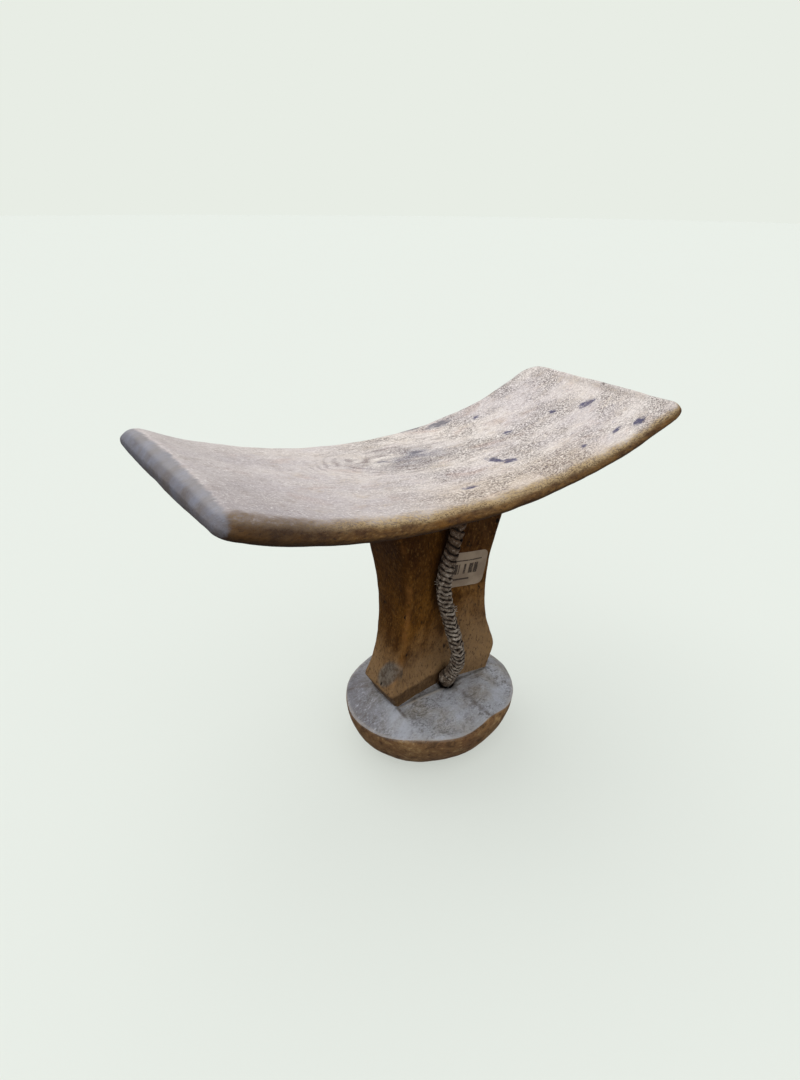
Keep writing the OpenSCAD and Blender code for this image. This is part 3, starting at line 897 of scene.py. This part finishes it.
def carve_rest():
    """A slab with rounded corners and edges, cut across into strips; the thickness, hollow, belly and width
    are set strip by strip, and each strip is then turned square to the curve."""
    edge = 8.0
    bpy.ops.object.select_all(action="DESELECT")
    bpy.ops.mesh.primitive_cube_add(size=1)
    obj = start("worn_rest")
    bpy.ops.transform.resize(value=(2 * REST_HALF * MM, 2 * REST_WIDE * MM, edge * MM),
                             center_override=(0, 0, 0))
    bpy.ops.transform.translate(value=(0, 0, -edge / 2 * MM))
    # the far right corner is carved rounder than the other three

    def corner(a, b):
        return (abs(a.co.z - b.co.z) > 0.9 * edge * MM and abs(a.co.x) > 0.99 * REST_HALF * MM
                and abs(a.co.y) > 0.99 * REST_WIDE * MM)

    pick_edges(obj, lambda a, b: corner(a, b) and min(a.co.x, a.co.y) > 0)
    bpy.ops.mesh.bevel(offset=11 * MM, segments=4, affect="EDGES")
    pick_edges(obj, corner)
    bpy.ops.mesh.bevel(offset=6.5 * MM, segments=3, affect="EDGES")
    pick_edges(obj, lambda a, b: min(a.co.z, b.co.z) > -0.1 * MM)
    bpy.ops.mesh.bevel(offset=4.7 * MM, segments=3, affect="EDGES")
    pick_edges(obj, lambda a, b: max(a.co.z, b.co.z) < (0.1 - edge) * MM)
    bpy.ops.mesh.bevel(offset=2.6 * MM, segments=2, affect="EDGES")
    stations = [0.125, 0.25, 0.375, 0.49, 0.6, 0.7, 0.79, 0.865, 0.925]
    lanes = [0.2, 0.4, 0.58, 0.74, 0.85]
    for shares, across in ((stations, Vector((1, 0, 0))), (lanes, Vector((0, 1, 0)))):
        reach = REST_HALF if across.x else REST_WIDE
        for k in [-s for s in shares] + [0] + shares:
            bpy.ops.mesh.select_all(action="SELECT")
            bpy.ops.mesh.bisect(plane_co=across * (k * reach * MM), plane_no=across)

    strips = {}
    lengthwise = {}
    for number, place in places(obj):
        u = round(place.x / MM / REST_HALF, 3)
        v = round(abs(place.y) / MM / REST_WIDE, 2)
        level = "top" if place.z > -0.1 * MM else "bottom" if place.z < (0.1 - edge) * MM else "side"
        strips.setdefault(u, {"top": [], "bottom": [], "side": []})[level].append(number)
        if level != "side":
            lengthwise.setdefault(v, []).append(number)
    for v, numbers in lengthwise.items():
        shift(obj, numbers, (0, 0, -(1 - v * v) * MM))
    for u, strip in sorted(strips.items()):
        every = strip["top"] + strip["bottom"] + strip["side"]
        if strip["top"]:
            scale(obj, strip["top"], (1, 1, rest_dip(u)), (0, 0, 0))
        if strip["bottom"]:
            scale(obj, strip["bottom"], (1, 1, rest_belly(u)), (0, 0, -edge * MM))
            shift(obj, strip["bottom"], (0, 0, (edge - rest_edge(u)) * MM))
        if strip["side"]:
            scale(obj, strip["side"], (1, 1, rest_edge(u) / edge), (0, 0, 0))
        scale(obj, every, (1, rest_wide(u) / REST_WIDE, 1), (0, 0, 0))
        pick(obj, every)
        turn(-math.atan(rest_slope(u)), "Y", (u * REST_HALF * MM, 0, 0))
        shift(obj, every, (0, 0, rest_height(u) * MM))
    # knife cuts leave the left end's lower edge a little wavy
    for number, place in places(obj):
        if number in strips[-1]["side"] or place.x < -0.94 * REST_HALF * MM:
            v = place.y / MM / REST_WIDE
            wave = 0.55 * math.sin(7 * v + 1) + 0.3 * math.sin(15 * v)
            share = ramp(rest_height(-1) - place.z / MM, 2, 7)
            shift(obj, [number], (-0.4 * wave * share * MM, 0, wave * share * MM))
    bpy.ops.mesh.select_all(action="SELECT")
    turn(math.radians(REST_TURN), "Z")
    bpy.ops.transform.translate(value=(REST_SHIFT * MM, 0, 0))
    close_up()
    smooth(obj, 3)
    uneven(obj, 22 * MM, 0.9 * MM)
    uneven(obj, 7 * MM, 0.3 * MM)
    drill(obj, route[0], route[1], 14 * MM, 4 * MM)
    shade(obj, 35)
    return obj


# stains on the top: x, y, half length and half width in mm, turn in degrees
STAINS = [
    (23.5, -11.5, 4.6, 3.4, -35), (27.5, -17.5, 5.6, 3.8, -20), (24.5, -15.0, 4.0, 2.8, -60),
    (92.0, -4.0, 6.5, 4.0, -10), (88.0, -39.5, 6.0, 3.0, 10), (78.0, 5.5, 3.2, 2.0, 30),
    (50.0, 33.0, 3.6, 1.8, 20), (49.5, 7.5, 4.0, 2.4, 0), (59.0, -33.0, 3.0, 1.8, 0),
    (16.0, 45.0, 9.0, 3.2, 0), (31.0, 40.5, 10.0, 4.0, 4), (0.0, 17.0, 6.5, 1.8, 0),
    (-21.0, 14.5, 4.5, 1.6, 0), (-6.5, -30.5, 6.5, 1.5, 0), (78.0, -35.0, 6.0, 1.6, 8),
]


def stain_at(x, y):
    best = 0.0
    for sx, sy, long, wide, turn in STAINS:
        c, s = math.cos(math.radians(turn)), math.sin(math.radians(turn))
        dx, dy = x - sx, y - sy
        a = (dx * c + dy * s) / long
        b = (-dx * s + dy * c) / wide
        best = max(best, math.exp(-1.1 * (a * a + b * b)))
    return best


def finish_rest(obj):
    """Marks what is bare or oiled, stained, turned down for the painted shade, or on the left end for its
    painted sky reflection, for the material.
    """

    def facing(p, n):
        tilt = rest_slope(max(min((p.x - REST_SHIFT) / REST_HALF, 1), -1))
        up = Vector((-tilt, 0, 1)).normalized()
        return n.dot(up)

    def edge_wear(p):
        """0 on the top, rising in the last few millimetres towards the near edge."""
        wide = rest_wide(max(min((p.x - REST_SHIFT) / REST_HALF, 1), -1))
        return ramp(-p.y, wide - 8, wide - 2)

    mark(obj, "bare", lambda p, n: ramp(facing(p, n), 0.1, 1.0) * (1 - 0.42 * edge_wear(p)))
    mark(obj, "below", lambda p, n: ramp(-facing(p, n), 0.1, 0.8))
    outwards = Vector((-1, 0, -rest_slope(-1))).normalized()
    mark(obj, "end", lambda p, n: ramp(n.dot(outwards), 0.05, 0.8) * ramp(-p.x, 95, 108))
    mark(obj, "stain", lambda p, n: stain_at(p.x, p.y) * (n.z > 0.4))
    mark(obj, "swirl", lambda p, n: math.exp(-((p.x + 16) / 40) ** 2 - ((p.y - 15) / 17) ** 2))
    mark(obj, "bluish", lambda p, n: math.exp(-((p.x + 8) / 24) ** 2 - ((p.y - 14) / 9) ** 2))
    mark(obj, "flecks", lambda p, n: ramp(p.x - 0.9 * p.y, -25, 75))
    finish_piece(obj, rest_wood(), "rest_wood", "rest")


worn_rest = carve_rest()
finish_rest(worn_rest)

# ---------------------------------------------------------------- column

# height, left edge, right edge, front edge, back edge, in mm
COLUMN_ROWS = [
    (27.5, -28.8, 29.6, -10.7, 10.7), (31.4, -29.3, 30.2, -11.0, 11.0), (36, -31.8, 31.6, -11.7, 11.5),
    (41, -34.4, 33.2, -12.6, 12), (45, -33.5, 34.4, -11.7, 11.7), (51, -31.2, 34.1, -11.5, 11.5),
    (62, -27.5, 29, -12.5, 13), (80, -25.5, 25.5, -12, 13), (100, -25.5, 24.5, -14.5, 17),
    (118, -29, 26.7, -16.5, 19), (134, -34.5, 32, -16.5, 18.5), (142.5, -38.5, 36.5, -16.5, 18.5),
    (147, -40.5, 38.5, -16.5, 18.5),
]
HEEL = 41
GROOVE_X = 1
GROOVE_DEEP = 4
CHAMFER = 2.4
END_BULGE = 0.8


def column_outline(left, right, front, back, z):
    """The outline at one height: a shallow V in front and behind, slightly bulging ends. The corners are
    sharper at the heel than above it."""
    cut = CHAMFER if z > 50 else 1.2
    outline = []
    for edge, deep in ((front, GROOVE_DEEP), (back, -GROOVE_DEEP)):
        face = []
        for share in (0.0, 0.1, 0.4, 0.75, 1.0):
            x = left + cut + (GROOVE_X - left - cut) * share
            face.append((x, edge + deep * (share if share else 0.0)))
        for share in (0.75, 0.4, 0.1, 0.0):
            x = right - cut + (GROOVE_X - right + cut) * share
            face.append((x, edge + deep * share))
        face[0] = (left + cut, edge)
        face[-1] = (right - cut, edge)
        outline.append(face)
    front_face, back_face = outline
    mid_y = (front + back) / 2
    right_end = [(right, front + cut), (right + END_BULGE, mid_y), (right, back - cut)]
    left_end = [(left, back - cut), (left - END_BULGE, mid_y), (left, front + cut)]
    return front_face + right_end + back_face[::-1] + left_end


def carve_column():
    """A block drawn upwards through its heights, each new outline set with the move tool."""
    outlines = [column_outline(*row[1:], row[0]) for row in COLUMN_ROWS]
    sides = len(outlines[0])
    bpy.ops.object.select_all(action="DESELECT")
    bpy.ops.mesh.primitive_circle_add(vertices=sides, radius=20 * MM, fill_type="NGON",
                                      location=(0, 0, 0))
    obj = start("oiled_column")
    ring = list(range(sides))
    spots = dict(places(obj))
    ring.sort(key=lambda n: (math.atan2(spots[n].y, spots[n].x) + math.pi * 0.75) % (2 * math.pi))
    for k, (row, outline) in enumerate(zip(COLUMN_ROWS, outlines)):
        if k:
            ring = draw_ring(obj, ring, ring_places)
        spots = dict(places(obj))
        for number, (x, y) in zip(ring, outline):
            if row[0] == HEEL and x > 3 and y < 0:
                y += 0.9
            above_last = len(COLUMN_ROWS) - 1 - k
            z = row[0] if above_last > 1 else under_rest(x, y) + (0.4 if above_last else 4.0)
            shift(obj, [number], Vector((x, y, z)) * MM - spots[number])
        spots = dict(places(obj))
        ring_places = [spots[n] for n in ring]
    # the heel's ridge and the corners below it stay crisp
    pick_edges(obj, lambda a, b: abs(a.co.z - HEEL * MM) < 1e-4 and abs(b.co.z - HEEL * MM) < 1e-4
               and (min(a.co.x, b.co.x) > 28 * MM or max(a.co.x, b.co.x) < 6 * MM))
    bpy.ops.transform.edge_crease(value=0.75)
    pick_edges(obj, lambda a, b: max(a.co.z, b.co.z) < 52 * MM and abs(a.co.z - b.co.z) > 2 * MM
               and min(abs(a.co.y), abs(b.co.y)) > 8.4 * MM and min(abs(a.co.x), abs(b.co.x)) > 26 * MM)
    bpy.ops.transform.edge_crease(value=0.55)
    close_up()
    smooth(obj, 3)
    uneven(obj, 14 * MM, 1.0 * MM)
    uneven(obj, 5 * MM, 0.3 * MM)
    drill(obj, route[0], route[1], 14 * MM, 4 * MM)
    drill(obj, route[-1], route[-2], 16 * MM, 4.5 * MM)
    shade(obj, 35)
    return obj


def nearest_ring(verts, targets):
    """The numbers of verts in the order of the places that they were drawn from."""
    left = {v.index: v.co.copy() for v in verts}
    ring = []
    for place in targets:
        number = min(left, key=lambda n: (left[n] - place).length)
        ring.append(number)
        left.pop(number)
    return ring


def draw_ring(obj, ring, spots):
    """Extrudes an open ring in place and gives its new numbers, in the same order."""
    pick(obj, ring)
    bpy.ops.mesh.extrude_region_move(TRANSFORM_OT_translate={"value": (0, 0, 0)})
    mesh = bmesh.from_edit_mesh(obj.data)
    return nearest_ring([v for v in mesh.verts if v.select], spots)


def column_edges(z):
    """Left, right and front edge at a height, in mm."""
    for a, b in zip(COLUMN_ROWS, COLUMN_ROWS[1:]):
        if z <= b[0]:
            t = max((z - a[0]) / (b[0] - a[0]), 0.0)
            return [p + (q - p) * t for p, q in zip(a[1:], b[1:])]
    return list(COLUMN_ROWS[-1][1:])


def finish_column(obj):
    def ridge(p, n):
        left, right, front, back = column_edges(p.z)
        near = min(abs(p.x - x) + abs(p.y - y) for x in (left, right) for y in (front, back))
        return ramp(near, 3.4, 1.0) * ramp(p.z, 44, 52)

    # the flaring lower part of the left end, which takes the painted grey sky sheen
    def leaf(p, n):
        across_leaf = (p.y + 6.0 + 0.35 * (p.z - 50.0)) / 6.5
        along_leaf = (p.z - 50.0) / 9.0
        return math.exp(-(across_leaf ** 2 + along_leaf ** 2) ** 1.5) * (p.x < -26) * (p.z > HEEL)

    # faces turned to the left, which take the painted shade
    def left_end(p, n):
        return ramp(-n.x, 0.3, 0.8)

    def below_heel(p, n):
        fold = HEEL + 0.3 + 0.5 * math.sin(p.x * 0.5)
        return ramp(p.z, fold, fold - 2.0) * max(ramp(p.x, 8, 0), 0.35)

    def grime(p, n):
        beside = min((p - q / MM).length for q in route[2:21])
        return ramp(beside, 8.5, 4.0) * (p.y < 0)

    mark(obj, "ridge", ridge)
    mark(obj, "leaf", leaf)
    mark(obj, "left_end", left_end)
    mark(obj, "below_heel", below_heel)
    mark(obj, "grime", grime)
    finish_piece(obj, column_wood(), "column_wood", "column")


column = carve_column()
finish_column(column)

# ---------------------------------------------------------------- base

BASE_LONG = 47
BASE_WIDE = 42
SEAT_HIGH = 32
SEAT_LONG = 31.5
SEAT_WIDE = 13.5
RIM_HIGH = 24
# height and distance in from the rim, in mm
BOWL_ROWS = [(1, 12.5), (3, 9), (7, 5.5), (12, 2.8), (17, 1), (21, 0.2)]
# ridges between the flat cuts of the top: angle in degrees, and how far each lifts the rim, in mm
RIDGES = [(-132, 1.0), (-78, 4.0), (-18, 0.8), (36, 1.2), (96, 2.6), (150, 1.0)]


def oval(angle, long, wide):
    return Vector((long * math.cos(angle), wide * math.sin(angle), 0))


def seat_point(angle):
    """A point of the soft-cornered rectangle under the column."""
    power = 0.28
    c, s = math.cos(angle), math.sin(angle)
    return Vector((SEAT_LONG * math.copysign(abs(c) ** power, c),
                   SEAT_WIDE * math.copysign(abs(s) ** power, s), 0))


def ridge_lift(angle):
    """How far the rim rises at an angle: up to each ridge's lift, and a little lower than level between."""
    lift = 0.0
    for ridge_angle, most in RIDGES:
        off = abs((math.degrees(angle) - ridge_angle + 180) % 360 - 180)
        lift = max(lift, most * max(1 - off / 24, 0.0) ** 1.2)
    front = math.exp(-(((math.degrees(angle) + 112 + 180) % 360 - 180) / 26) ** 2)
    return lift + 1.3 * front


def carve_base():
    """A bowl drawn up ring by ring from its flat foot, with the cuts of its top running up to the seat."""
    sides = 60
    bpy.ops.object.select_all(action="DESELECT")
    bpy.ops.mesh.primitive_circle_add(vertices=sides, radius=1, fill_type="NOTHING")
    obj = start("handled_base")
    ring = list(range(sides))
    spots = dict(places(obj))
    ring.sort(key=lambda n: math.atan2(spots[n].y, spots[n].x))
    angles = [math.atan2(spots[n].y, spots[n].x) for n in ring]
    rings = []

    def draw(targets):
        """Extrudes the open edge and sets each new point with the move tool."""
        nonlocal ring
        if rings:
            ring = draw_ring(obj, ring, rings[-1])
        now = dict(places(obj))
        for number, target in zip(ring, targets):
            shift(obj, [number], target * MM - now[number])
        now = dict(places(obj))
        rings.append([now[n] for n in ring])

    draw([oval(a, 15.5, 13) for a in angles])
    bottom = list(ring)
    draw([oval(a, 29, 24) for a in angles])
    draw([oval(a, 31, 26) for a in angles])
    for height, inset in BOWL_ROWS:
        follow = height / RIM_HIGH * 0.7
        draw([oval(a, BASE_LONG - inset, BASE_WIDE - inset) + Vector((0, 0, height + ridge_lift(a) * follow))
              for a in angles])
    rim = [oval(a, BASE_LONG * (1 - 0.012 * ridge_lift(a)), BASE_WIDE * (1 - 0.012 * ridge_lift(a)))
           + Vector((0, 0, RIM_HIGH + ridge_lift(a))) for a in angles]
    draw(rim)
    rim_ring = list(ring)
    seat = [seat_point(a) + Vector((0, 0, SEAT_HIGH)) for a in angles]
    for share in (0.05, 0.25, 0.5, 0.75, 0.93):
        row = []
        for a, outer, inner in zip(angles, rim, seat):
            point = outer.lerp(inner, share)
            crown = 0.5 * math.sin(math.pi * share)
            sag = 0.0
            for ridge_angle, _ in RIDGES:
                off = abs((math.degrees(a) - ridge_angle + 180) % 360 - 180)
                sag = max(sag, max(1 - off / 26, 0.0))
            row.append(point + Vector((0, 0, crown + (3.0 * sag - 1.5) * math.sin(math.pi * share) ** 0.7)))
        draw(row)
    draw(seat)
    seat_ring = list(ring)
    draw([Vector((p.x * 0.93, p.y * 0.86, SEAT_HIGH + 0.35)) for p in seat])
    draw([Vector((p.x * 0.5, p.y * 0.4, SEAT_HIGH + 0.35)) for p in seat])
    for open_end in (ring, bottom):
        pick(obj, open_end)
        bpy.ops.mesh.edge_face_add()
    for sharp in (rim_ring, seat_ring):
        pick(obj, sharp)
        bpy.ops.mesh.select_mode(type="EDGE")
        bpy.ops.transform.edge_crease(value=0.5)
    close_up()
    smooth(obj, 2)
    uneven(obj, 18 * MM, 0.9 * MM)
    uneven(obj, 6 * MM, 0.4 * MM)
    bpy.ops.object.mode_set(mode="EDIT")
    scale(obj, [n for n, place in places(obj) if place.z < 0.5 * MM], (1, 1, 0), (0, 0, 0))
    stop()
    drill(obj, route[-1], route[-2], 16 * MM, 4.5 * MM)
    shade(obj, 35)
    return obj


# creases between the cuts: from x, y to x, y in mm
CREASES = [(5, -14, 8.5, -38), (-29.5, -12.5, -29.5, -19), (-33, 12, -41, 22), (33, 10, 40, 18)]


def crease_at(p):
    """How near a point is to a crease: 1 on it, 0 from 1.2 mm away."""
    near = 9.0
    for x0, y0, x1, y1 in CREASES:
        along = Vector((x1 - x0, y1 - y0))
        t = min(max(Vector((p.x - x0, p.y - y0)).dot(along) / along.length_squared, 0.0), 1.0)
        near = min(near, (Vector((p.x - x0, p.y - y0)) - along * t).length)
    return ramp(near, 1.3, 0.2)


def finish_base(obj):
    def out(p):
        return math.hypot(p.x / BASE_LONG, p.y / BASE_WIDE)

    def rim_height(p):
        return RIM_HIGH + ridge_lift(math.atan2(p.y / BASE_WIDE, p.x / BASE_LONG))

    def grime(p, n):
        """Painted shade in and round the lower hole and along the column's foot."""
        hole = ramp((p - Vector((2.6, -11.0, 32))).length, 6.5, 3.5)
        foot = ramp(abs(abs(p.y) - 11.6) + 0.4 * max(abs(p.x) - 30, 0), 1.3, 0.2)
        return hole + 0.6 * foot * (p.z > 29) * (abs(p.x) < 32)

    mark(obj, "upper", lambda p, n: ramp(n.z, 0.25, 0.75) * (p.z > 15))
    mark(obj, "rim", lambda p, n: ramp(abs(p.z - rim_height(p)) + 20 * abs(out(p) - 0.99), 1.3, 0.4))
    mark(obj, "cut", lambda p, n: ramp(abs(p.y + 12.9 + 0.02 * p.x), 0.9, 0.2) * ramp(abs(p.x + 14), 17, 15)
         * (p.z > 29))
    mark(obj, "crease", lambda p, n: crease_at(p) * (p.z > 22))
    # where the painted highlights of the sky fall on the top
    mark(obj, "rubbed", lambda p, n: max(math.exp(-((p.x + 34) / 7) ** 2 - ((p.y + 18) / 10) ** 2),
                                         math.exp(-((p.x - 22) / 9) ** 2 - ((p.y + 27) / 7) ** 2),
                                         0.8 * math.exp(-((p.x + 12) / 12) ** 2 - ((p.y + 38) / 3.5) ** 2),
                                         0.9 * math.exp(-((p.x + 5) / 13) ** 2 - ((p.y + 29) / 8) ** 2)))
    mark(obj, "back_left", lambda p, n: ramp(-p.x + 0.4 * p.y, 20, 44))
    mark(obj, "grime", grime)
    finish_piece(obj, base_wood(), "base_wood", "base")


base = carve_base()
finish_base(base)

# ---------------------------------------------------------------- label


# the label sits this far to the left of its CAD sheet, so that its rounded right corners stay on the facet
LABEL_ASIDE = 1.7


def stick_label():
    """A rounded rectangle cut from a sheet, pressed on to the right facet beside the cord."""
    low_corner, high_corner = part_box("label")
    centre = (low_corner + high_corner) / 2
    bpy.ops.object.select_all(action="DESELECT")
    bpy.ops.mesh.primitive_grid_add(x_subdivisions=26, y_subdivisions=20, size=1)
    obj = start("paper_label")
    obj.data.uv_layers[0].name = "face"
    bpy.ops.transform.resize(value=(26 * MM, 20 * MM, 1), center_override=(0, 0, 0))
    corner = 3.2
    for number, place in places(obj):
        over_x = abs(place.x) / MM - (13 - corner)
        over_y = abs(place.y) / MM - (10 - corner)
        if over_x > 0 and over_y > 0:
            away = math.hypot(over_x, over_y)
            square = max(over_x, over_y)
            keep = square / away if away > 1e-6 else 1
            shift(obj, [number], (math.copysign(over_x * (1 - keep), -place.x) * MM,
                                  math.copysign(over_y * (1 - keep), -place.y) * MM, 0))
    bpy.ops.mesh.select_all(action="SELECT")
    turn(-math.radians(4), "Z")
    turn(math.radians(90), "X")
    bpy.ops.transform.translate(value=(centre.x - LABEL_ASIDE * MM, low_corner.y - 4 * MM, centre.z))
    stop()
    modify(obj, "SHRINKWRAP", target=column, wrap_method="PROJECT", use_project_x=False, use_project_y=True,
           use_positive_direction=True, use_negative_direction=True, offset=0.12 * MM,
           wrap_mode="ABOVE_SURFACE")
    modify(obj, "SMOOTH", factor=0.5, iterations=6, use_x=False, use_z=False)
    modify(obj, "SOLIDIFY", thickness=0.16 * MM, offset=1)
    shade(obj, 50)
    finish_piece(obj, label_paper(), "paper", "label")
    return obj


label = stick_label()

# ---------------------------------------------------------------- studio


PALE = "#E8EDE5"
KEY = 1.5
FILL = 0.75


def floor_paint():
    """Matte pale paint that glows a little, so the shadow on it stays soft."""
    material, tree = new_material("matte_pale_floor")
    where = add(tree, "TexCoord", output="Object")
    soft = pattern(tree, where, 0.5, (1, 1, 1), 1.0, 0.6)
    pale = paint(PALE)
    share = 0.36
    half = tuple(c * share for c in pale[:3]) + (1.0,)
    shade_of_it = tuple(c * share * 0.99 for c in pale[:3]) + (1.0,)
    finish = add(tree, "BsdfPrincipled",
                 {"Base Color": layer(tree, half, shade_of_it, soft), "Roughness": 1.0,
                  "Specular IOR Level": 0.0, "Emission Color": pale, "Emission Strength": 0.57})
    add(tree, "OutputMaterial", {"Surface": finish})
    return material


def backdrop_paint():
    material, tree = new_material("pale_backdrop")
    glow = add(tree, "Emission", {"Color": PALE, "Strength": 1.0})
    add(tree, "OutputMaterial", {"Surface": glow})
    return material


def add_studio():
    """A wide pale floor in a pale round backdrop, soft light from above and behind, even light all round."""
    bpy.ops.object.select_all(action="DESELECT")
    bpy.ops.mesh.primitive_circle_add(vertices=96, radius=7.9, fill_type="NGON", location=(0, 0, 0))
    floor = bpy.context.object
    floor.name = "floor"
    floor.data.materials.append(floor_paint())
    bpy.ops.mesh.primitive_uv_sphere_add(segments=64, ring_count=32, radius=8.0)
    backdrop = bpy.context.object
    backdrop.name = "backdrop"
    backdrop.data.materials.append(backdrop_paint())
    for sweep in (floor, backdrop):
        sweep.visible_diffuse = False
        sweep.visible_glossy = False
        sweep.visible_shadow = False
    scene = bpy.context.scene
    scene.view_settings.view_transform = "Standard"
    world = bpy.data.worlds.new("studio")
    world.use_nodes = True
    scene.world = world
    tree = world.node_tree
    tree.nodes.clear()
    # an overcast room: brightest overhead, dim towards the ground
    way = add(tree, "TexCoord", output="Generated")
    rise = add(tree, "SeparateXYZ", {0: way}, 2)
    above = add(tree, "MapRange", (rise, -0.25, 0.9), **STEP)
    glow = layer(tree, "#605A54", "#EEF0F5", above)
    sky = add(tree, "Background", {"Color": glow, "Strength": 0.95})
    add(tree, "OutputWorld", {"Surface": sky})
    for name, strength, softness, aim in (("key_above_behind", KEY, 70, (0.15, -0.5, -1.0)),
                                          ("fill_front_left", FILL, 90, (0.45, 0.9, -0.75))):
        data = bpy.data.lights.new(name, "SUN")
        data.energy = strength
        data.angle = math.radians(softness)
        light = bpy.data.objects.new(name, data)
        light.rotation_euler = Vector(aim).to_track_quat("-Z", "Y").to_euler()
        scene.collection.objects.link(light)


add_studio()
